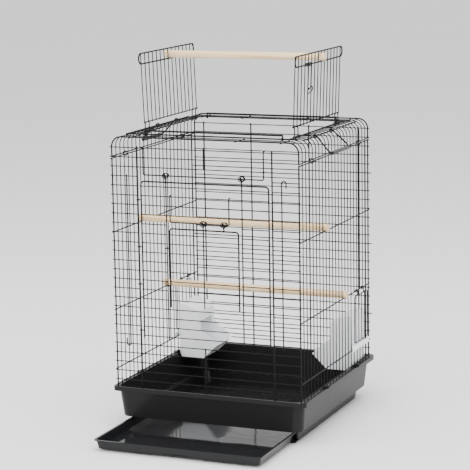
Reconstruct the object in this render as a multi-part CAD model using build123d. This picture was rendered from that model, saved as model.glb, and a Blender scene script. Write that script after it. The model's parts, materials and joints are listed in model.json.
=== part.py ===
"""Table-top bird cage with an opening play top, modelled in millimetres.

Frame: origin at the centre of the base's footprint, on the surface it stands on.
+X is the cage's right, +Y its back and +Z is up, so the doors face -Y.
The wire panels, roof cap and plastic base are the fixed cage. The tray, roof flaps, play
perch, doors, bails, carry handles, feeder doors and latch are the moving pieces.
"""
from build123d import *
from math import cos, radians, sin
import os

# ---------------------------------------------------------------- driving dimensions
HALF_WIDTH = 194.0          # cage centre to a side panel's upright wires
HALF_DEPTH = 198.0          # cage centre to the corner wires
ROOF_Z = 586.0              # centre of the roof wires
THIN = 2.0                  # grille wire diameter
HEAVY = 2.2                 # the back panel's long level wires
RAIL = 2.5                  # side rail and bail diameter
THICK = 3.0                 # frame wire diameter
WELD = 0.3                  # how far two crossing wires sink into each other
PLAY = 0.4                  # radial play of a wire eye on its pivot wire
SEAT = 0.15                 # gap between pieces that only lie against each other
RAIL_END = 1.4              # how far side rails run past the corner wires' centres
REACH = 0.45                # gap between pieces that pass each other
STUB = 2.3                  # diameter of the flattened wire end beside an eye

UPRIGHT_GAPS = 22           # gaps between a side panel's upright wires
PITCH_Z = 18.5              # pitch of the front and back panels' level wires
LEVEL_TOP = 566.0           # highest level wire
LEVELS = 26                 # level wires on the front and back panels
SIDE_TOP_RAIL = 543.0       # top rail of a side panel
SIDE_RAILS = (397.6, 242.6, 123.7)      # the other side rails, top to bottom
CAP_RAIL = 547.0            # lower rail of the roof cap

SHOULDER = 20.0             # bend radius of the roof cap's wires
OPENING_X = 157.0           # half width of the roof opening
OPENING_Y = 150.0           # half depth of the roof opening
RAISED_ROD = 7.0            # height of the second opening rod above the first
RAISED_D = 3.6
CLIP_RADIUS = 4.5           # rings around the two rails

DOOR_POST = 140.0           # front panel posts beside the large door
LARGE_X = (-133.0, 133.0)
LARGE_Z = (190.0, 501.0)
LARGE_LEVELS = (3, 20)      # first and last level wire that the large door takes over
LARGE_POSTS = (-80.0, 78.0)
SMALL_X = (-74.0, 70.0)
SMALL_Z = (256.0, 411.0)
SMALL_LEVELS = (8, 16)      # first and last level wire that the small door takes over
BAIL_TIP = 6.5              # how far a bail's tips reach in over their level wire
LARGE_BAIL_Z = 514.5
SMALL_BAIL_Z = 424.5

FLAP_REACH = 154.5          # hinge to the flap's top wire
FLAP_LEAN = 2.5             # degrees that an open flap leans outwards
FLAP_HALF = 126.0           # half length of a flap
FLAP_PITCH = 18.0
FLAP_BAND = 20.5            # height of the loop band that holds the play perch
FLAP_FOOT = 20.0            # hinge to the flap's bottom rail

PERCH_D = 14.6
PERCH_OUT = 6.0             # how far a perch end stands out of its panel
PERCH_SEAT = 2.0            # depth of a perch's notch over its rail

WINDOW = (16, 21)           # upright wires that edge the feeder window
FEEDER_Y = (94.0, 176.0)
FEEDER_Z = (79.0, 194.0)
FEEDER_BODY = 44.0          # panel to the hood's face
FEEDER_TROUGH = 85.0        # panel to the trough's lip
FEEDER_WALL = 1.8
TROUGH_Z = 109.0            # height of the trough's lip
CHEEK = (31.0, 12.0)        # where a trough's side steps, from the hood's face and its lip
HOOD_Z = 144.0              # where the trough's sides meet the hood

BASE_Z = 88.0               # top of the plastic base
LEDGE_Z = 27.0              # where the base's upper wall steps in
FLOOR_Z = 2.0               # underside of the base's floor, on its feet
BASE_WALL = 2.4
BASE_RIM = (196.5, 203.0)   # half width and half depth under the rim
BASE_LEDGE = (190.5, 197.0)
BASE_LOWER = (178.0, 184.0)
BASE_FOOT = (174.5, 180.5)
FLANGE_OUT = 7.5            # how far the rim's flange stands out at the sides and back
FLANGE_LIP = 0.8            # and at the front
FLANGE_DROP = 9.0

TRAY_OUT = 162.0            # how far the tray stands pulled out
TRAY_DEPTH = 352.0
TRAY_TOP_HALF = 171.0
TRAY_FOOT_HALF = 167.0
TRAY_LIP = 2.6
TRAY_Z = (4.6, 22.6)
TRAY_WALL = 1.8
PULL_ARC = 330.0            # radius of the shallow finger pull under the tray's front
PULL_RISE = 4.5

HANDLE_SHIFT = 42.0         # the left handle sits this far back, the right one forward
HANDLE_HALF = 45.0          # half spacing of a handle's eyes
HANDLE_SPREAD = 55.0        # half width of its grip bar
HANDLE_LEG = 47.0
HANDLE_SLOPE = 45.0         # degrees below level that a resting handle hangs
GRIP_D = 7.5

# ---------------------------------------------------------------- derived places
PITCH_Y = 2 * HALF_DEPTH / UPRIGHT_GAPS
UPRIGHTS = [-HALF_DEPTH + i * PITCH_Y for i in range(UPRIGHT_GAPS + 1)]
RAIL_X = HALF_WIDTH + THIN / 2 + RAIL / 2 - WELD        # side rails outside the uprights
FACE_Y = HALF_DEPTH + THICK / 2 + THIN / 2 + SEAT       # level wires of front and back
POST_Y = FACE_Y - THIN / 2 - THICK / 2 + WELD           # posts just inside them
BAIL_Y = FACE_Y + THIN / 2 + RAIL / 2 + REACH           # bails in front of the wires
FOOT_RAIL = BASE_Z + THICK / 2 + SEAT                   # bottom rail, on the base's rim
LARGE_GAP = (LEVEL_TOP - 21 * PITCH_Z, LEVEL_TOP - 2 * PITCH_Z)


def level(k):
    """Height of the k-th level wire, counted down from the top."""
    return LEVEL_TOP - k * PITCH_Z


# ---------------------------------------------------------------- wire helpers
def rod(a, b, diameter):
    a, b = Vector(*a), Vector(*b)
    return Solid.make_cylinder(diameter / 2, (b - a).length, Plane(origin=a, z_dir=b - a))


def level_rod(x0, x1, y, z, diameter=THIN):
    return rod((x0, y, z), (x1, y, z), diameter)


def post(x, y, z0, z1, diameter=THICK):
    return rod((x, y, z0), (x, y, z1), diameter)


def eye(centre, axis, pivot, wire=THIN):
    """A closed wire eye around a pivot wire of the given diameter."""
    major = pivot / 2 + PLAY + wire / 2
    return Solid.make_torus(major, wire / 2, Plane(origin=centre, z_dir=axis))


def bent(points, radius, diameter, close=False):
    """A round wire bent along the points, each corner with the same radius."""
    path = FilletPolyline(*points, radius=radius, close=close).wire()
    section = Plane(origin=path @ 0, z_dir=path % 0) * Circle(diameter / 2)
    return sweep(section, path=path).solid()


def weld(pieces):
    """Join crossing wires into one welded solid."""
    return pieces[0].fuse(*pieces[1:]).solid()


def both_sides(shapes):
    return [mirror(s, about=Plane.YZ) for s in shapes]


def turned(shapes):
    """The same pieces on the other side of the cage, turned round instead of mirrored."""
    return [s.rotate(Axis.Z, 180) for s in shapes]


def write(name, shapes):
    export_step(Compound(children=shapes) if len(shapes) > 1 else shapes[0], f"parts/{name}.step")


# ---------------------------------------------------------------- side panels
def side_panel():
    """Left panel: upright wires welded to outer rails around a feeder window."""
    first, last = WINDOW
    sill, head = SIDE_RAILS[2], SIDE_RAILS[1]
    y_first, y_last = UPRIGHTS[first], UPRIGHTS[last]
    low, high = BASE_Z + SEAT, SIDE_TOP_RAIL + RAIL / 2

    def block(indices, y0, y1, z0, z1, rails):
        wires = []
        for i in indices:
            heavy = i in (0, last, UPRIGHT_GAPS)
            wires.append(post(-HALF_WIDTH, UPRIGHTS[i], z0, z1, THICK if heavy else THIN))
        for z in rails:
            wires.append(rod((-RAIL_X, y0, z), (-RAIL_X, y1, z), RAIL))
        return weld(wires)

    all_rails = (SIDE_TOP_RAIL,) + SIDE_RAILS + (FOOT_RAIL + 2,)
    before = block(range(first + 1), UPRIGHTS[0] - RAIL_END, y_first, low, high, all_rails)
    after = block(range(last, UPRIGHT_GAPS + 1), y_last, UPRIGHTS[-1] + RAIL_END, low, high, all_rails)
    over = block(range(first + 1, last), y_first, y_last, head - RAIL / 2, high,
                 (SIDE_TOP_RAIL,) + SIDE_RAILS[:2])
    under = block(range(first + 1, last), y_first, y_last, low, sill + RAIL / 2,
                  (sill, FOOT_RAIL + 2))
    return [before, after, over, under]


def feeder_door():
    """Left feeder door: it hangs from the window's head rail and lifts outwards."""
    first, last = WINDOW
    y0, y1 = UPRIGHTS[first] + 5, UPRIGHTS[last] - 5
    head, foot = SIDE_RAILS[1], SIDE_RAILS[2] + 13
    x = -(RAIL_X + RAIL / 2 + PLAY + THIN)
    inner = x + THIN - WELD
    frame = bent([(x, y0, head - 9), (x, y1, head - 9), (x, y1, foot), (x, y0, foot)], 5, THIN, True)
    bars = [post(inner, y, foot - 1, head - 8, THIN) for y in UPRIGHTS[first + 1:last]]
    eyes = []
    for y in (y0 + 22, y1 - 22):
        eyes.append(eye((-RAIL_X, y, head), (0, 1, 0), RAIL))
        eyes.append(post(x + THIN / 2, y, head - 10, head, STUB))
    return [weld([frame] + bars + eyes)]


# ---------------------------------------------------------------- back panel
def back_panel():
    wires = []
    for k in range(LEVELS):
        heavy = k in (5, 13, 21)
        reach = HALF_WIDTH + (7 if heavy else THICK)
        wires.append(level_rod(-reach, reach, FACE_Y, level(k), HEAVY if heavy else THIN))
    for x in (-173, -65, 65, 173):
        wires.append(post(x, POST_Y, BASE_Z + SEAT, LEVEL_TOP + 3))
    return [weld(wires)]


# ---------------------------------------------------------------- front panel and doors
def front_panel():
    """Level wires and two posts around the large doorway."""
    edge = HALF_WIDTH + THICK
    low, high = LARGE_GAP

    def strip(side):
        wires = [post(side * DOOR_POST, -POST_Y, BASE_Z + SEAT, LEVEL_TOP + 3)]
        for k in range(LEVELS):
            ends = sorted((side * edge, side * DOOR_POST))
            wires.append(level_rod(*ends, -FACE_Y, level(k)))
        return weld(wires)

    def bridge(rows, x, z0, z1):
        wires = [level_rod(-DOOR_POST, DOOR_POST, -FACE_Y, level(k)) for k in rows]
        wires.append(post(x, -POST_Y, z0, z1, RAIL))
        return weld(wires)

    over = bridge(range(LARGE_LEVELS[0]), 0, high - 1, LEVEL_TOP + 3)
    under = bridge(range(LARGE_LEVELS[1] + 1, LEVELS), -3, BASE_Z + SEAT, low + 1)
    return [strip(-1), strip(1), over, under]


def door_eyes(pivot_x, stile_x, heights):
    """Hinge eyes around an upright post, with their stubs to the door's stile."""
    wires = []
    for z in heights:
        wires.append(eye((pivot_x, -POST_Y, z), (0, 0, 1), THICK))
        wires.append(level_rod(pivot_x + THICK / 2 + PLAY + THIN / 2, stile_x, -POST_Y, z, STUB))
    return wires


def bail_eye(x, z):
    """An eye at the head of a door wire, standing forward to carry a bail."""
    centre = (x, -BAIL_Y - 0.1, z)
    return [eye(centre, (1, 0, 0), RAIL), rod((x, -POST_Y, z - 3), (x, -BAIL_Y + 2, z), STUB)]


def large_door():
    """Grille in an arch of wire, with its own small doorway, hinged on the left post."""
    x0, x1 = LARGE_X
    z0, z1 = LARGE_Z
    left, right = LARGE_POSTS
    first, last = SMALL_LEVELS
    split_low, split_high = level(last) - 9, level(first) + 9
    y = -POST_Y

    def side(stile, jamb, stile_eyes):
        wires = [post(stile, y, split_low, split_high), post(jamb, y, split_low, split_high, RAIL)]
        ends = sorted((stile, jamb))
        for k in range(first, last + 1):
            wires.append(level_rod(ends[0] - 1, ends[1] + 1, -FACE_Y, level(k)))
        return weld(wires + stile_eyes)

    def end(split, rail, rows, jamb_end, extra):
        if rail > split:
            corner = [(x0, y, split), (x0, y, rail), (x1, y, rail), (x1, y, split)]
            wires = [bent(corner, 7, THICK)]
        else:
            wires = [post(x0, y, rail, split), post(x1, y, rail, split)]
        for k in rows:
            wires.append(level_rod(x0 - 1, x1 + 1, -FACE_Y, level(k)))
        for x in LARGE_POSTS:
            wires.append(post(x, y, *sorted((split, jamb_end)), RAIL))
        return weld(wires + extra)

    mid_eyes = door_eyes(-DOOR_POST, x0, [level(10) - 9, level(14) - 9])
    high_eyes = door_eyes(-DOOR_POST, x0, [level(5) - 9])
    low_eyes = door_eyes(-DOOR_POST, x0, [level(19) - 9])
    bail_eyes = [w for x in LARGE_POSTS for w in bail_eye(x, LARGE_BAIL_Z)]
    top = end(split_high, z1, range(LARGE_LEVELS[0] + 1, first), LARGE_BAIL_Z - 2,
              high_eyes + bail_eyes)
    bottom = end(split_low, z0, range(last + 1, LARGE_LEVELS[1] + 1), z0 - 1, low_eyes)
    return [side(x0, left, mid_eyes), side(x1, right, []), top, bottom]


def small_door():
    """Grille in an arch of wire, hinged on the large door's left jamb."""
    x0, x1 = SMALL_X
    z0, z1 = SMALL_Z
    y = -POST_Y
    wires = [bent([(x0, y, z0), (x0, y, z1), (x1, y, z1), (x1, y, z0)], 6, THICK)]
    for k in range(SMALL_LEVELS[0] + 1, SMALL_LEVELS[1] + 1):
        wires.append(level_rod(x0 - 1, x1 + 1, -FACE_Y, level(k)))
    for x in (-3, 40):
        wires.append(post(x, y, z0 + 1 if x < 0 else z1, SMALL_BAIL_Z - 2, RAIL))
        wires += bail_eye(x, SMALL_BAIL_Z)
    wires += door_eyes(LARGE_POSTS[0], x0, [level(10) - 9, level(14) - 9])
    return [weld(wires)]


def bail(x0, x1, z, hook_row):
    """U-shaped bail whose tips hook in over a level wire above the door."""
    tip = level(hook_row) + THIN / 2 + RAIL / 2 + REACH
    inside = -BAIL_Y + BAIL_TIP
    corners = [(x0, inside, tip), (x0, -BAIL_Y, tip), (x0, -BAIL_Y, z), (x1, -BAIL_Y, z),
               (x1, -BAIL_Y, tip), (x1, inside, tip)]
    return [bent(corners, 3, RAIL)]


def front_pin(side):
    """Long pin that laces a front strip, with one end bent over as a hook."""
    x = side * 161.0
    y = -(FACE_Y + THIN / 2 + RAIL / 2 + SEAT)
    low, high = 189.0, 514.0
    if side > 0:
        return [bent([(x, y, low), (x, y, high), (x + 9, y, high), (x + 9, y, high - 13)], 4, RAIL)]
    return [bent([(x, y, high), (x, y, low - 15), (x - 8, y, low - 15), (x - 8, y, low)], 3.9, RAIL)]


# ---------------------------------------------------------------- roof cap
def shoulder():
    """Left shoulder: every upright bends over onto the roof."""
    x_in = -(HALF_WIDTH - SHOULDER)
    low = CAP_RAIL - RAIL / 2
    wires = []
    for i, y in enumerate(UPRIGHTS):
        size = THICK if i in (0, UPRIGHT_GAPS) else THIN
        drop = Line((-HALF_WIDTH, y, low), (-HALF_WIDTH, y, ROOF_Z - SHOULDER))
        bend = TangentArc((-HALF_WIDTH, y, ROOF_Z - SHOULDER), (x_in, y, ROOF_Z), tangent=(0, 0, 1))
        path = Wire([drop.edge(), bend.edge()])
        section = Plane(origin=path @ 0, z_dir=path % 0) * Circle(size / 2)
        wires.append(sweep(section, path=path).solid())
    ends = HALF_DEPTH + RAIL_END
    wires.append(rod((-RAIL_X, -ends, CAP_RAIL), (-RAIL_X, ends, CAP_RAIL), RAIL))
    slope = radians(60)
    reach = SHOULDER + THIN / 2 + THICK / 2 - WELD
    rail = (x_in - reach * cos(slope), ROOF_Z - SHOULDER + reach * sin(slope))
    wires.append(rod((rail[0], -OPENING_Y, rail[1]), (rail[0], OPENING_Y, rail[1]), THICK))
    return [weld(wires)], rail


def roof_end(side):
    """Level wires of the roof in front of or behind the opening."""
    reach = HALF_WIDTH - SHOULDER
    corner, rail = side * HALF_DEPTH, side * OPENING_Y
    middle = (corner + rail) / 2
    wires = [level_rod(-reach, reach, corner, ROOF_Z, THICK),
             level_rod(-reach, reach, middle, ROOF_Z - (THICK - THIN) / 2),
             level_rod(-reach, reach, rail, ROOF_Z, THICK)]
    for x in (-OPENING_X, -65, 65, OPENING_X):
        z = ROOF_Z - THICK / 2 - THIN / 2 + WELD
        wires.append(rod((x, min(corner, rail), z), (x, max(corner, rail), z), THIN))
    return weld(wires)


def roof_side():
    """Left roof strip: cut wires end on the opening's hinge rail."""
    reach = HALF_WIDTH - SHOULDER
    gap = OPENING_Y - THICK / 2
    wires = [rod((-OPENING_X, -gap, ROOF_Z), (-OPENING_X, gap, ROOF_Z), THICK)]
    for y in UPRIGHTS:
        if abs(y) < gap:
            wires.append(level_rod(-reach, -OPENING_X - THICK / 2 + WELD, y, ROOF_Z))
    return weld(wires)


def roof_cap():
    left, _ = shoulder()
    side = [roof_side()]
    return left + both_sides(left) + side + both_sides(side) + [roof_end(-1), roof_end(1)]


def opening_rod(side):
    """Second rod above the opening's edge, its ends curled around the first."""
    y, z = side * OPENING_Y, ROOF_Z + RAISED_ROD
    x = OPENING_X - 14
    curls = [eye((s * x, y, ROOF_Z), (1, 0, 0), THICK, RAIL) for s in (-1, 1)]
    legs = [post(s * x, y, ROOF_Z + 3, z, RAIL) for s in (-1, 1)]
    return [weld([level_rod(-x - RAIL / 2, x + RAIL / 2, y, z, RAISED_D)] + curls + legs)]


def roof_clips():
    """Rings that hold each side panel's top rail to the cap's rail."""
    clips = []
    z = (SIDE_TOP_RAIL + CAP_RAIL) / 2
    for side in (-1, 1):
        for y in (UPRIGHTS[3] + PITCH_Y / 2, UPRIGHTS[18] + PITCH_Y / 2):
            place = Plane(origin=(side * RAIL_X, y, z), z_dir=(0, 1, 0))
            clips.append(Solid.make_torus(CLIP_RADIUS, THIN / 2, place))
    return clips


# ---------------------------------------------------------------- flaps
def tilt(shape, side):
    """Lean a flap built upright at its hinge outwards."""
    hinge = Axis((side * OPENING_X, 0, ROOF_Z), (0, 1, 0))
    return shape.rotate(hinge, side * FLAP_LEAN)


def flap(side):
    """Roof flap standing open, with eyes around the opening's side rail."""
    x = side * OPENING_X
    top, foot = ROOF_Z + FLAP_REACH, ROOF_Z + FLAP_FOOT
    band = top - FLAP_BAND
    half = FLAP_HALF
    ends = FLAP_BAND / 2 - 0.2
    loop = bent([(x, -half - ends / 2, band), (x, half + ends / 2, band), (x, half + ends / 2, top),
                 (x, -half - ends / 2, top)], ends, THICK, True)
    skin = x - side * (THICK / 2 + THIN / 2 - WELD)
    count = round(2 * half / FLAP_PITCH)
    wires = [loop, rod((x - side * (THIN - WELD) - side * 1.2, -half - 2, foot),
                       (x - side * (THIN - WELD) - side * 1.2, half + 2, foot), RAIL)]
    ys = [-half + i * FLAP_PITCH for i in range(count + 1)]
    for y in ys:
        wires.append(rod((skin + side * 0.9, y, foot - 2), (skin, y, top + 0.6), THIN))
    for y in (ys[0], ys[1], ys[-2], ys[-1]):
        y += 4.0 if y < 0 else -4.0
        wires.append(eye((x, y, ROOF_Z), (0, 1, 0), THICK))
        wires.append(rod((x, y, ROOF_Z + THICK / 2 + PLAY + 0.8), (x - side * 1.2, y, foot + 1.5), STUB))
    return [tilt(weld(wires), side)]


def flap_latch():
    """Wire hook that hangs on the right flap's band and holds the flaps shut."""
    pivot = ROOF_Z + FLAP_REACH - FLAP_BAND
    x = OPENING_X + THICK / 2 + PLAY + THIN / 2
    y, drop = -66.0, 46.0
    eyes = [eye((OPENING_X, y + dy, pivot), (0, 1, 0), THICK) for dy in (0, 16)]
    head = pivot + 0.5
    path = [(x, y, head), (x, y, pivot - drop), (x, y + 16, pivot - drop), (x, y + 16, head)]
    skew, out, foot = 3.0, x + 1.5, pivot - drop
    link = [(out, y - 4, foot - 7 - skew), (out, y + 22, foot - 7 + skew),
            (out, y + 22, foot + 1 + skew), (out, y - 4, foot + 1 - skew)]
    return [tilt(weld([bent(path, 4, STUB), bent(link, 3.5, THIN, True)] + eyes), 1)]


# ---------------------------------------------------------------- carry handles
def handle(rail):
    """Left handle and its grip, hanging outwards from the shoulder's top rail."""
    px, pz = rail
    y = HANDLE_SHIFT
    slope = radians(HANDLE_SLOPE)
    out, down = -cos(slope), -sin(slope)
    lift = THICK / 2 + PLAY + RAIL / 2
    sx, sz = px - lift * sin(slope), pz + lift * cos(slope)
    ex, ez = sx + HANDLE_LEG * out, sz + HANDLE_LEG * down
    spread = HANDLE_SPREAD
    path = [(sx, y - HANDLE_HALF, sz), (ex, y - spread, ez), (ex, y + spread, ez),
            (sx, y + HANDLE_HALF, sz)]
    eyes = [eye((px, y + s * HANDLE_HALF, pz), (0, 1, 0), THICK, RAIL) for s in (-1, 1)]
    wire = weld([bent(path, 9, THICK)] + eyes)
    sleeve = rod((ex, y - spread + 11, ez), (ex, y + spread - 11, ez), GRIP_D)
    bore = rod((ex, y - spread, ez), (ex, y + spread, ez), THICK + 0.1)
    return wire, (sleeve - bore).solid()


# ---------------------------------------------------------------- perches
def perch(y, rail_z):
    """Dowel through both side panels, notched over their rails."""
    z = rail_z + RAIL / 2 + PERCH_D / 2 - PERCH_SEAT + SEAT
    length = 2 * (RAIL_X + PERCH_OUT)
    dowel = level_rod(-length / 2, length / 2, y, z, PERCH_D)
    for side in (-1, 1):
        dowel -= Pos(side * RAIL_X, y, rail_z) * Box(RAIL + 0.6, PERCH_D, RAIL + 2 * SEAT)
    return [dowel.solid()]


def play_perch():
    """Loose dowel that lies in the two flaps' loop bands."""
    lean = radians(FLAP_LEAN)
    reach = FLAP_REACH - FLAP_BAND
    z = ROOF_Z + reach * cos(lean) + THICK / 2 + PERCH_D / 2 + 0.25
    half = OPENING_X + reach * sin(lean) + 9
    return [level_rod(-half, half, FLAP_PITCH / 2, z, PERCH_D)]


# ---------------------------------------------------------------- feeders
def feeder():
    """Left hooded feeder: hood, trough towards the birds and an outer lip."""
    x0 = -HALF_WIDTH + THIN / 2 + 1.2
    body, trough = x0 + FEEDER_BODY, x0 + FEEDER_TROUGH
    y0, y1 = FEEDER_Y
    z0, z1 = FEEDER_Z
    w = FEEDER_WALL
    cheek, top = (body + CHEEK[0], TROUGH_Z + CHEEK[1]), z1 - 17
    outer = [(x0 + 4, z0), (body + 10, z0), (trough, TROUGH_Z), cheek, (body, HOOD_Z), (body, top),
             (body - 7, top + 8), (x0 + 12, z1), (x0, z1), (x0, z0 + 10)]
    inner = [(x0 + 4 + w, z0 + w), (body + 9, z0 + w), (trough - w - 1, TROUGH_Z + 0.1),
             (cheek[0], cheek[1] + 2), (body - w, HOOD_Z - 1), (body - w, top - 1),
             (body - 8, top + 8 - w), (x0 + 12, z1 - w), (x0 + w, z1 - w), (x0 + w, z0 + 10)]
    shell = extrude(Plane.XZ.offset(-y1) * make_face(Polyline(*outer, close=True)), amount=y1 - y0)
    room = extrude(Plane.XZ.offset(-(y1 - w)) * make_face(Polyline(*inner, close=True)),
                   amount=y1 - y0 - 2 * w)
    mouth = Pos(body + 22, (y0 + y1) / 2, TROUGH_Z + 24) * Box(42, y1 - y0 - 2 * w, 48)
    arch = Pos(body, (y0 + y1) / 2, HOOD_Z - 8) * Box(24, y1 - y0 - 22, 42)
    cup = shell - room - mouth - arch
    sill = SIDE_RAILS[2] + RAIL / 2 + SEAT
    lip_x = -(RAIL_X + RAIL / 2 + 1.6)
    plate = Pos(lip_x, (y0 + y1) / 2 + 1, sill + 1.5) * Box(2.0, y1 - y0 + 18, 10.5)
    neck = Pos((x0 + lip_x) / 2, (y0 + y1) / 2, sill + 1.6) * Box(abs(x0 - lip_x) + 1, y1 - y0 - 6, 2.4)
    return [(cup + plate + neck).solid()]


# ---------------------------------------------------------------- base and tray
def tub(low, high, z0, z1, radius):
    """Tapering block with rounded corners between two half sizes."""
    bottom = Plane.XY.offset(z0) * RectangleRounded(2 * low[0], 2 * low[1], radius)
    top = Plane.XY.offset(z1) * RectangleRounded(2 * high[0], 2 * high[1], radius)
    return loft([bottom, top])


def shrink(half, wall=BASE_WALL):
    return (half[0] - wall, half[1] - wall)


def base_tub():
    """Plastic base: tapered wall, stepped-in lower wall, floor, flange and tray slot."""
    back = (FLANGE_OUT - FLANGE_LIP) / 2
    flange_half = (BASE_RIM[0] + FLANGE_OUT, BASE_RIM[1] + FLANGE_OUT - back)
    upper = tub(BASE_LEDGE, BASE_RIM, LEDGE_Z, BASE_Z, 20)
    lower = tub(BASE_FOOT, BASE_LOWER, FLOOR_Z, LEDGE_Z, 16)
    flange = tub(flange_half, flange_half, BASE_Z - FLANGE_DROP, BASE_Z, 9)
    under = tub(shrink(flange_half, 2), shrink(flange_half, 2), BASE_Z - FLANGE_DROP, BASE_Z - 2, 7)
    skirt = Pos(0, back, 0) * (flange - under)
    body = upper + lower + skirt
    body -= tub(shrink(BASE_LEDGE), shrink(BASE_RIM), LEDGE_Z + BASE_WALL, BASE_Z + 0.01, 18)
    body -= tub(shrink(BASE_FOOT), shrink(BASE_LOWER), FLOOR_Z + BASE_WALL - 0.6, LEDGE_Z + BASE_WALL, 14)
    slot = Pos(0, -BASE_LOWER[1], (TRAY_Z[1] + FLOOR_Z + 2) / 2 + 0.7) * \
        Box(2 * TRAY_TOP_HALF + 2 * TRAY_LIP + 1.6, 60, TRAY_Z[1] - FLOOR_Z - 0.4)
    return [(body - slot).solid()]


def base_feet():
    """Low round pads under the corners and the middle of the floor."""
    inset = 9
    x, y = BASE_FOOT[0] - inset, BASE_FOOT[1] - inset
    foot = Cylinder(7, FLOOR_Z, align=(Align.CENTER, Align.CENTER, Align.MIN))
    return [(Pos(a, b, 0) * foot).solid() for a, b in ((0, 0), (x, y), (-x, y), (x, -y), (-x, -y))]


def tray():
    """Slide-out tray, pulled part way out, with a finger pull under its front edge."""
    z0, z1 = TRAY_Z
    front = -BASE_LOWER[1] - TRAY_OUT - 10
    centre = front + TRAY_DEPTH / 2
    depth = TRAY_DEPTH / 2 - TRAY_LIP
    shape = tub((TRAY_FOOT_HALF, depth - 4), (TRAY_TOP_HALF, depth), z0, z1, 8)
    shape += tub((TRAY_TOP_HALF + TRAY_LIP, depth + TRAY_LIP),
                 (TRAY_TOP_HALF + TRAY_LIP, depth + TRAY_LIP), z1 - 1.6, z1, 9)
    shape -= tub((TRAY_FOOT_HALF - TRAY_WALL, depth - 4 - TRAY_WALL),
                 (TRAY_TOP_HALF - TRAY_WALL, depth - TRAY_WALL), z0 + TRAY_WALL, z1 + 0.01, 7)
    pull = Rot(90, 0, 0) * Cylinder(PULL_ARC, 14)
    shape -= Pos(0, -depth - 1, z0 + PULL_RISE - PULL_ARC) * pull
    return [Pos(0, centre, 0) * shape.solid()]


# ---------------------------------------------------------------- base clips
def base_clips():
    """Flat wire loops that hold the side panels' foot rails on the base's rim."""
    clips = []
    for side in (-1, 1):
        for y in (UPRIGHTS[6] + PITCH_Y / 2, UPRIGHTS[16] + PITCH_Y / 2):
            x0, x1 = side * (RAIL_X - 0.3), side * (BASE_RIM[0] + FLANGE_OUT + 3)
            z = BASE_Z + THIN / 2 + 0.1
            loop = [(x0, y - 7, z), (x1, y - 7, z), (x1, y + 7, z), (x0, y + 7, z)]
            clips.append(bent(loop, 3.5, THIN, True))
    return clips


# ---------------------------------------------------------------- build
def main():
    os.makedirs("parts", exist_ok=True)
    _, rail = shoulder()
    left_panel, left_gate, left_cup = side_panel(), feeder_door(), feeder()
    left_wire, left_grip = handle(rail)
    nodes = {
        "base_tub": base_tub(), "base_feet": base_feet(), "tray": tray(),
        "left_panel": left_panel, "right_panel": both_sides(left_panel),
        "back_panel": back_panel(), "front_panel": front_panel(), "roof_cap": roof_cap(),
        "opening_rod_front": opening_rod(-1), "opening_rod_back": opening_rod(1),
        "roof_clips": roof_clips(), "base_clips": base_clips(),
        "front_pin_left": front_pin(-1), "front_pin_right": front_pin(1),
        "large_door": large_door(), "small_door": small_door(),
        "large_bail": bail(-125.0, 125.0, LARGE_BAIL_Z, 0),
        "small_bail": bail(-70.0, 53.0, SMALL_BAIL_Z, 5),
        "left_flap": flap(-1), "right_flap": flap(1), "flap_latch": flap_latch(),
        "left_handle": [left_wire], "left_grip": [left_grip],
        "right_handle": turned([left_wire]), "right_grip": turned([left_grip]),
        "left_feeder_door": left_gate, "right_feeder_door": both_sides(left_gate),
        "left_feeder": left_cup, "right_feeder": both_sides(left_cup),
        "upper_perch": perch(UPRIGHTS[7] + PITCH_Y / 2, SIDE_RAILS[0]),
        "lower_perch": perch(UPRIGHTS[13] + PITCH_Y / 2, SIDE_RAILS[1]),
        "play_perch": play_perch(),
    }
    for name, shapes in nodes.items():
        write(name, shapes)


if __name__ == "__main__":
    main()
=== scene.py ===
"""Table-top bird cage with an opening play top: finishes and fine pieces, in metres.

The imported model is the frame: every wire, panel and moulding comes from it and keeps its
place. This script softens the mouldings' edges, gives every piece its finish, adds the
curled wire heads that carry the doors' bails, and sets up the studio.
"""
import json
from math import cos, pi, radians, sin
import bpy
from mathutils import Matrix, Vector


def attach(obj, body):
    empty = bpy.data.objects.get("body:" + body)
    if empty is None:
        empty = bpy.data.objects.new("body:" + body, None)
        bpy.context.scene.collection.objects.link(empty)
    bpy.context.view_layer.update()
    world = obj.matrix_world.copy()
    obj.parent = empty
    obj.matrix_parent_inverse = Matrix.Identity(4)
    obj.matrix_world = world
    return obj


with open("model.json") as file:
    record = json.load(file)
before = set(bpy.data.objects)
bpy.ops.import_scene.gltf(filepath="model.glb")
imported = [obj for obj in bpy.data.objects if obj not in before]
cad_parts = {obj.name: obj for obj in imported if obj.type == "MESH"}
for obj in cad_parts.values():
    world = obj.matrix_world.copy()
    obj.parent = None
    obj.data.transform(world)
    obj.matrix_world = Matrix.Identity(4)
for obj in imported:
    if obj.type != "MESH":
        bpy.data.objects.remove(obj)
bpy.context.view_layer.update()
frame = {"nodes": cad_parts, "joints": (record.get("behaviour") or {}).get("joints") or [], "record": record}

nodes = frame["nodes"]
MM = 0.001

# ---------------------------------------------------------------- studio
CAMERA_TURN, CAMERA_TILT, CAMERA_ROLL = radians(22.94), radians(10.34), radians(-0.98)
CAMERA_AWAY = 3.824
CAMERA_TARGET = Vector((-0.0212, 0.0, 0.3668))
CAMERA_LENS = 145.2
FLOOR_HALF = 60.0
ROOM_LIGHT = 1.3
SOFTBOXES = {                       # place, what it is aimed at, diameter and power
    "overhead_softbox": ((0.3, -0.6, 3.0), (0.0, 0.0, 0.3), 3.0, 110),
    "left_softbox": ((-2.6, -2.2, 1.7), (0.0, 0.0, 0.4), 1.8, 40),
    "front_softbox": ((0.4, -4.2, 2.2), (0.0, 0.0, 0.3), 2.0, 75),
    "right_softbox": ((3.0, 0.4, 1.4), (0.0, 0.0, 0.3), 2.2, 22),
}


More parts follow.
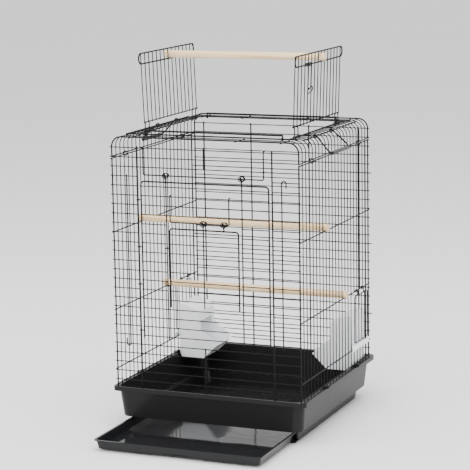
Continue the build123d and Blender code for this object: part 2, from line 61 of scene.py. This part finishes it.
def aimed(forward, roll=0.0):
    """Rotation that looks along forward, with the given roll."""
    right = forward.cross(Vector((0, 0, 1))).normalized()
    up = right.cross(forward)
    r = cos(roll) * right + sin(roll) * up
    u = cos(roll) * up - sin(roll) * right
    return Matrix((r, u, -forward)).transposed().to_4x4()


def camera():
    """Camera in front of the cage and to its right, looking a little down."""
    forward = Vector((-sin(CAMERA_TURN) * cos(CAMERA_TILT), cos(CAMERA_TURN) * cos(CAMERA_TILT),
                      -sin(CAMERA_TILT)))
    data = bpy.data.cameras.new("camera")
    data.lens, data.sensor_width = CAMERA_LENS, 36.0
    data.clip_start, data.clip_end = 0.1, 200.0
    made = bpy.data.objects.new("camera", data)
    bpy.context.scene.collection.objects.link(made)
    made.matrix_world = Matrix.Translation(CAMERA_TARGET - forward * CAMERA_AWAY) \
        @ aimed(forward, CAMERA_ROLL)
    bpy.context.scene.camera = made


def softbox(name, stand, target, diameter, power):
    """Round area light aimed at target."""
    data = bpy.data.lights.new(name, "AREA")
    data.shape, data.size, data.energy = "DISK", diameter, power
    made = bpy.data.objects.new(name, data)
    bpy.context.scene.collection.objects.link(made)
    stand, target = Vector(stand), Vector(target)
    made.matrix_world = Matrix.Translation(stand) @ aimed((target - stand).normalized())


def room():
    """White room light from all round."""
    world = bpy.data.worlds.new("room")
    bpy.context.scene.world = world
    world.use_nodes = True
    background = world.node_tree.nodes["Background"]
    background.inputs["Color"].default_value = (1.0, 1.0, 1.0, 1)
    background.inputs["Strength"].default_value = ROOM_LIGHT


def studio():
    """Camera, lights, room and floor."""
    camera()
    for name, settings in SOFTBOXES.items():
        softbox(name, *settings)
    room()
    mesh = bpy.data.meshes.new("floor")
    h = FLOOR_HALF
    mesh.from_pydata([(-h, -h, 0), (h, -h, 0), (h, h, 0), (-h, h, 0)], [], [(0, 1, 2, 3)])
    floor = bpy.data.objects.new("floor", mesh)
    bpy.context.scene.collection.objects.link(floor)
    floor.data.materials.append(pale_floor())


# ---------------------------------------------------------------- node helpers
MIX_FACTOR, MIX_A, MIX_B, MIX_RESULT = 0, 6, 7, 2       # a Mix node's colour sockets


def fill(tree, made, inputs):
    """Sets each of the node's inputs to a value, or links it to another node's socket."""
    for socket, value in dict(inputs).items():
        if isinstance(value, bpy.types.NodeSocket):
            tree.links.new(value, made.inputs[socket])
        else:
            made.inputs[socket].default_value = value


def add(tree, kind, inputs=(), **settings):
    """A node with its settings made and its inputs set or linked."""
    made = tree.nodes.new(kind)
    for name, value in settings.items():
        setattr(made, name, value)
    fill(tree, made, inputs)
    return made


def group(name, inputs, outputs):
    """An empty node group with float, colour or vector sockets; returns its two ends."""
    tree = bpy.data.node_groups.new(name, "ShaderNodeTree")
    kinds = {"f": "NodeSocketFloat", "c": "NodeSocketColor", "v": "NodeSocketVector"}
    for label, (kind, value) in inputs.items():
        socket = tree.interface.new_socket(label, in_out="INPUT", socket_type=kinds[kind])
        if value is not None:
            socket.default_value = value
    for label, kind in outputs.items():
        tree.interface.new_socket(label, in_out="OUTPUT", socket_type=kinds[kind])
    return tree, tree.nodes.new("NodeGroupInput").outputs, tree.nodes.new("NodeGroupOutput").inputs


def place(tree, made, inputs=()):
    """The group made, placed in a material."""
    used = tree.nodes.new("ShaderNodeGroup")
    used.node_tree = made
    fill(tree, used, inputs)
    return used.outputs


def noise(tree, vector, scale, detail=3.0, roughness=0.55):
    """Noise texture whose scale is a number or another node's value."""
    return add(tree, "ShaderNodeTexNoise",
               {"Vector": vector, "Scale": scale, "Detail": detail, "Roughness": roughness})


def ramp(tree, value, low, high):
    """Value stretched from low..high to 0..1 and clamped."""
    return add(tree, "ShaderNodeMapRange",
               {"Value": value, "From Min": low, "From Max": high}).outputs["Result"]


def combine(tree, a, b, operation="MULTIPLY"):
    """Two values put together, multiplied unless told otherwise."""
    return add(tree, "ShaderNodeMath", {0: a, 1: b}, operation=operation).outputs[0]


def mix(tree, factor, a, b):
    """Colour a turned into colour b by factor."""
    made = add(tree, "ShaderNodeMix", data_type="RGBA")
    fill(tree, made, {MIX_FACTOR: factor, MIX_A: a, MIX_B: b})
    return made.outputs[MIX_RESULT]


# ---------------------------------------------------------------- shared effects
def settled_dust():
    """Mask of dust on surfaces that face up, broken into soft patches."""
    tree, given, out = group("settled_dust", {"Amount": ("f", 0.3), "Patch Scale": ("f", 40.0)},
                             {"Mask": "f"})
    where = tree.nodes.new("ShaderNodeTexCoord").outputs
    up = add(tree, "ShaderNodeSeparateXYZ", {0: where["Normal"]}).outputs["Z"]
    cloudy = noise(tree, where["Object"], given["Patch Scale"]).outputs["Fac"]
    patches = ramp(tree, cloudy, 0.35, 0.75)
    facing = ramp(tree, up, 0.55, 1.0)
    tree.links.new(combine(tree, combine(tree, facing, patches), given["Amount"]), out["Mask"])
    return tree


def moulded_skin():
    """Fine orange peel and slow waviness of a moulded or powder coated surface."""
    tree, given, out = group("moulded_skin", {"Peel Scale": ("f", 900.0), "Peel Share": ("f", 1.0),
                                              "Wave Scale": ("f", 18.0), "Wave Share": ("f", 0.5)},
                             {"Height": "f", "Mask": "f"})
    where = tree.nodes.new("ShaderNodeTexCoord").outputs["Object"]
    peel = noise(tree, where, given["Peel Scale"], 2.0).outputs["Fac"]
    slow = noise(tree, where, given["Wave Scale"], 1.0).outputs["Fac"]
    wave = combine(tree, slow, given["Wave Share"])
    fine = combine(tree, peel, given["Peel Share"])
    tree.links.new(combine(tree, fine, wave, "ADD"), out["Height"])
    tree.links.new(peel, out["Mask"])
    return tree


def light_scuffs():
    """Mask of fine rubbed lines in mixed directions."""
    tree, given, out = group("light_scuffs", {"Line Scale": ("f", 30.0), "Amount": ("f", 0.3)},
                             {"Mask": "f"})
    where = tree.nodes.new("ShaderNodeTexCoord").outputs["Object"]
    layers = []
    for turn, stretch in ((0.35, (1.0, 9.0, 1.0)), (-0.9, (9.0, 1.0, 2.0))):
        turned = add(tree, "ShaderNodeMapping", {"Vector": where, "Rotation": (turn, turn, turn),
                                                 "Scale": stretch}).outputs[0]
        lines = noise(tree, turned, given["Line Scale"], 6.0, 0.7).outputs["Fac"]
        layers.append(ramp(tree, lines, 0.62, 0.72))
    both = combine(tree, layers[0], layers[1], "MAXIMUM")
    tree.links.new(combine(tree, both, given["Amount"]), out["Mask"])
    return tree


def pine_grain():
    """Long straight grain of a sanded dowel that runs along X, with a few darker rings."""
    tree, given, out = group("pine_grain", {"Pale": ("c", None), "Dark": ("c", None)},
                             {"Color": "c", "Height": "f", "Mask": "f"})
    where = tree.nodes.new("ShaderNodeTexCoord").outputs["Object"]
    stretched = add(tree, "ShaderNodeMapping", {"Vector": where, "Scale": (6.0, 150.0, 150.0)})
    fibres = noise(tree, stretched.outputs[0], 2.2, 6.0, 0.6).outputs["Fac"]
    broad = add(tree, "ShaderNodeMapping", {"Vector": where, "Scale": (1.6, 60.0, 60.0)})
    rings = add(tree, "ShaderNodeTexWave", {"Vector": broad.outputs[0], "Scale": 1.1,
                                            "Distortion": 5.0, "Detail": 3.0, "Detail Scale": 1.4},
                bands_direction="DIAGONAL").outputs["Fac"]
    thin = combine(tree, ramp(tree, fibres, 0.3, 0.72), 0.55)
    wide = combine(tree, ramp(tree, rings, 0.45, 1.0), 0.4)
    tone = combine(tree, thin, wide, "ADD")
    tree.links.new(mix(tree, tone, given["Pale"], given["Dark"]), out["Color"])
    tree.links.new(fibres, out["Height"])
    tree.links.new(tone, out["Mask"])
    return tree


DUST, SKIN, SCUFFS, PINE = settled_dust(), moulded_skin(), light_scuffs(), pine_grain()


# ---------------------------------------------------------------- finishes
SKIN_STRENGTH = 0.35                # of the bump on a coated surface
RUBBED_ROUGHNESS = 0.25             # how much rougher a rubbed line is
DUSTY_ROUGHNESS = 0.6               # and full dust


def finish_of(name):
    """A new material, its node tree and its shader."""
    material = bpy.data.materials.new(name)
    material.use_nodes = True
    tree = material.node_tree
    return material, tree, tree.nodes["Principled BSDF"]


def bumped(tree, shader, height, strength, depth):
    """Gives the shader a bump from the height."""
    bump = add(tree, "ShaderNodeBump", {"Height": height, "Strength": strength, "Distance": depth})
    tree.links.new(bump.outputs["Normal"], shader.inputs["Normal"])


def coated(name, pale, dark, marks, roughness, dust, scuffs, peel, depth, wave=(18.0, 0.5)):
    """A coloured surface with skin texture, rubbed lines and settled dust.

    Rubbed lines and dust take the colour marks. Roughness is a low and a high value, and
    peel and wave are each a scale and a share.
    """
    material, tree, shader = finish_of(name)
    skin = place(tree, SKIN, {"Peel Scale": peel[0], "Peel Share": peel[1],
                              "Wave Scale": wave[0], "Wave Share": wave[1]})
    dusty = place(tree, DUST, {"Amount": dust})["Mask"]
    rubbed = place(tree, SCUFFS, {"Amount": scuffs})["Mask"]
    toned = mix(tree, skin["Mask"], (*dark, 1), (*pale, 1))
    marked = mix(tree, rubbed, toned, (*marks, 1))
    tree.links.new(mix(tree, dusty, marked, (*marks, 1)), shader.inputs["Base Color"])
    worn = combine(tree, combine(tree, rubbed, RUBBED_ROUGHNESS),
                   combine(tree, dusty, DUSTY_ROUGHNESS), "ADD")
    low, high = roughness
    uneven = combine(tree, combine(tree, skin["Mask"], high - low), low, "ADD")
    tree.links.new(combine(tree, uneven, worn, "ADD"), shader.inputs["Roughness"])
    bumped(tree, shader, skin["Height"], SKIN_STRENGTH, depth)
    return material, shader


def black_wire():
    """Powder coated steel wire."""
    material, shader = coated(
        "black_powder_coat", pale=(0.006, 0.006, 0.0065), dark=(0.003, 0.003, 0.0033),
        marks=(0.03, 0.03, 0.031), roughness=(0.38, 0.52), dust=0.12, scuffs=0.05,
        peel=(1500.0, 1.0), depth=0.0001)
    shader.inputs["Specular IOR Level"].default_value = 0.12
    return material


def base_gloss():
    """Black gloss moulding of the cage's base."""
    material, shader = coated(
        "black_base_moulding", pale=(0.017, 0.017, 0.0168), dark=(0.011, 0.011, 0.0108),
        marks=(0.03, 0.03, 0.031), roughness=(0.2, 0.3), dust=0.10, scuffs=0.10,
        peel=(1100.0, 0.6), depth=0.00008)
    shader.inputs["Specular IOR Level"].default_value = 0.1
    return material


def tray_gloss():
    """Black gloss moulding of the tray, its floor a little wavy."""
    material, shader = coated(
        "black_tray_moulding", pale=(0.014, 0.0145, 0.0155), dark=(0.009, 0.0093, 0.0102),
        marks=(0.03, 0.03, 0.031), roughness=(0.05, 0.09), dust=0.04, scuffs=0.06,
        peel=(500.0, 0.01), depth=0.002, wave=(14.0, 1.0))
    shader.inputs["Specular IOR Level"].default_value = 0.22
    return material


def feeder_milk():
    """Milky translucent plastic of the feeders."""
    material, shader = coated(
        "milky_feeder_plastic", pale=(0.95, 0.975, 1.0), dark=(0.93, 0.96, 1.0),
        marks=(0.82, 0.79, 0.74), roughness=(0.22, 0.34), dust=0.10, scuffs=0.08,
        peel=(700.0, 1.0), depth=0.0001)
    shader.inputs["Subsurface Weight"].default_value = 0.4
    shader.inputs["Subsurface Radius"].default_value = (0.9, 0.95, 1.0)
    shader.inputs["Subsurface Scale"].default_value = 0.006
    return material


def grip_matte():
    """Dark matte plastic of the handle grips."""
    material, _ = coated(
        "dark_grip_plastic", pale=(0.05, 0.05, 0.05), dark=(0.03, 0.03, 0.03),
        marks=(0.12, 0.115, 0.11), roughness=(0.5, 0.65), dust=0.25, scuffs=0.15,
        peel=(900.0, 1.0), depth=0.0002)
    return material


def perch_pine():
    """Sanded, unfinished pine."""
    material, tree, shader = finish_of("sanded_pine")
    grain = place(tree, PINE, {"Pale": (0.88, 0.69, 0.43, 1), "Dark": (0.62, 0.39, 0.17, 1)})
    rubbed = place(tree, SCUFFS, {"Line Scale": 18.0, "Amount": 0.25})["Mask"]
    tree.links.new(mix(tree, rubbed, grain["Color"], (0.72, 0.52, 0.31, 1)),
                   shader.inputs["Base Color"])
    tree.links.new(combine(tree, combine(tree, grain["Mask"], 0.2), 0.5, "ADD"),
                   shader.inputs["Roughness"])
    bumped(tree, shader, grain["Height"], 0.5, 0.0003)
    return material


def pale_floor():
    """Pale matt floor with slow, faint patches."""
    material, tree, shader = finish_of("pale_floor")
    where = tree.nodes.new("ShaderNodeTexCoord").outputs["Object"]
    soft = noise(tree, where, 0.5, 2.0).outputs["Fac"]
    tree.links.new(mix(tree, soft, (0.86, 0.86, 0.86, 1), (0.9, 0.9, 0.9, 1)),
                   shader.inputs["Base Color"])
    shader.inputs["Roughness"].default_value = 0.9
    return material


FINISHES = {
    "black_wire": black_wire(),
    "base_plastic": base_gloss(),
    "tray_plastic": tray_gloss(),
    "feeder_plastic": feeder_milk(),
    "perch_wood": perch_pine(),
    "grip_plastic": grip_matte(),
}


def dress_nodes():
    """Gives every CAD node the finish of its slot."""
    for part in frame["record"]["subparts"]:
        mesh = nodes[part["node"]].data
        if not mesh.materials:
            mesh.materials.append(None)
        for index in range(len(mesh.materials)):
            mesh.materials[index] = FINISHES[part["material_slot"]]


# ---------------------------------------------------------------- bent wires
POST_DEPTH = -0.1985                # the doors' posts
CURL_WIRE = 0.0019
CURL_RADIUS = 0.0052
CURL_TURNS = 1.55
CURL_DRIFT = 0.0035                 # how far a curl runs along its bail
CURL_SLANT = 0.0044                 # how far a turn leans sideways, so that it stands open
POINTS_PER_TURN = 10
CURLS = {                           # the door that each rides on, its bail's joint and its post
    "large_door_curl_left": ("large_door", "large_bail_swing", -0.080),
    "large_door_curl_right": ("large_door", "large_bail_swing", 0.078),
    "small_door_curl_left": ("small_door", "small_bail_swing", -0.003),
    "small_door_curl_right": ("small_door", "small_bail_swing", 0.040),
}


def wire(name, body, points, diameter):
    """A bent round wire through smooth control points."""
    data = bpy.data.curves.new(name, "CURVE")
    data.dimensions, data.resolution_u = "3D", 6
    data.bevel_depth, data.bevel_resolution, data.use_fill_caps = diameter / 2, 3, True
    spline = data.splines.new("NURBS")
    spline.points.add(len(points) - 1)
    for point, at in zip(spline.points, points):
        point.co = (*at, 1.0)
    spline.order_u, spline.use_endpoint_u = 3, True
    made = bpy.data.objects.new(name, data)
    bpy.context.scene.collection.objects.link(made)
    data.materials.append(FINISHES["black_wire"])
    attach(made, body)


def pigtail(name, body, x, depth, height):
    """The head of a door post, curled loosely round the bail at that depth and height."""
    points = [(x, POST_DEPTH, height - 3 * CURL_RADIUS), (x, POST_DEPTH, height - 2 * CURL_RADIUS)]
    steps = round(CURL_TURNS * POINTS_PER_TURN)
    for k in range(steps + 1):
        turn = 2 * pi * CURL_TURNS * k / steps - pi / 2
        points.append((x + CURL_DRIFT * k / steps + CURL_SLANT * cos(turn),
                       depth + CURL_RADIUS * cos(turn), height + CURL_RADIUS * sin(turn)))
    wire(name, body, points, CURL_WIRE)


def pigtails():
    """Curls for both posts of each door, where the bail's joint says that its wire runs."""
    pivots = {joint["name"]: joint["pos_m"] for joint in frame["joints"] if "pos_m" in joint}
    for name, (door, swing, x) in CURLS.items():
        _, depth, height = pivots[swing]
        pigtail(name, door, x, depth, height)


# ---------------------------------------------------------------- softened edges
SOFT_EDGES = {                      # width of each piece's rounding, in millimetres
    "base_tub": 1.1, "tray": 0.6, "base_feet": 0.4,
    "left_feeder": 0.7, "right_feeder": 0.7, "left_grip": 0.8, "right_grip": 0.8,
    "upper_perch": 0.8, "lower_perch": 0.8, "play_perch": 0.8,
}
SAME_POINT = 0.00001                # vertices this close are one
EDGE_STEPS = 3
SHARP_EDGE = radians(35)


def soften(name, width):
    """Rounds a moulding's or dowel's sharp edges."""
    made = nodes[name]
    weld = made.modifiers.new("weld", "WELD")
    weld.merge_threshold = SAME_POINT
    edge = made.modifiers.new("rounded_edges", "BEVEL")
    edge.width, edge.segments = width * MM, EDGE_STEPS
    edge.limit_method, edge.angle_limit = "ANGLE", SHARP_EDGE
    edge.harden_normals = True


studio()
dress_nodes()
pigtails()
for piece, rounding in SOFT_EDGES.items():
    soften(piece, rounding)
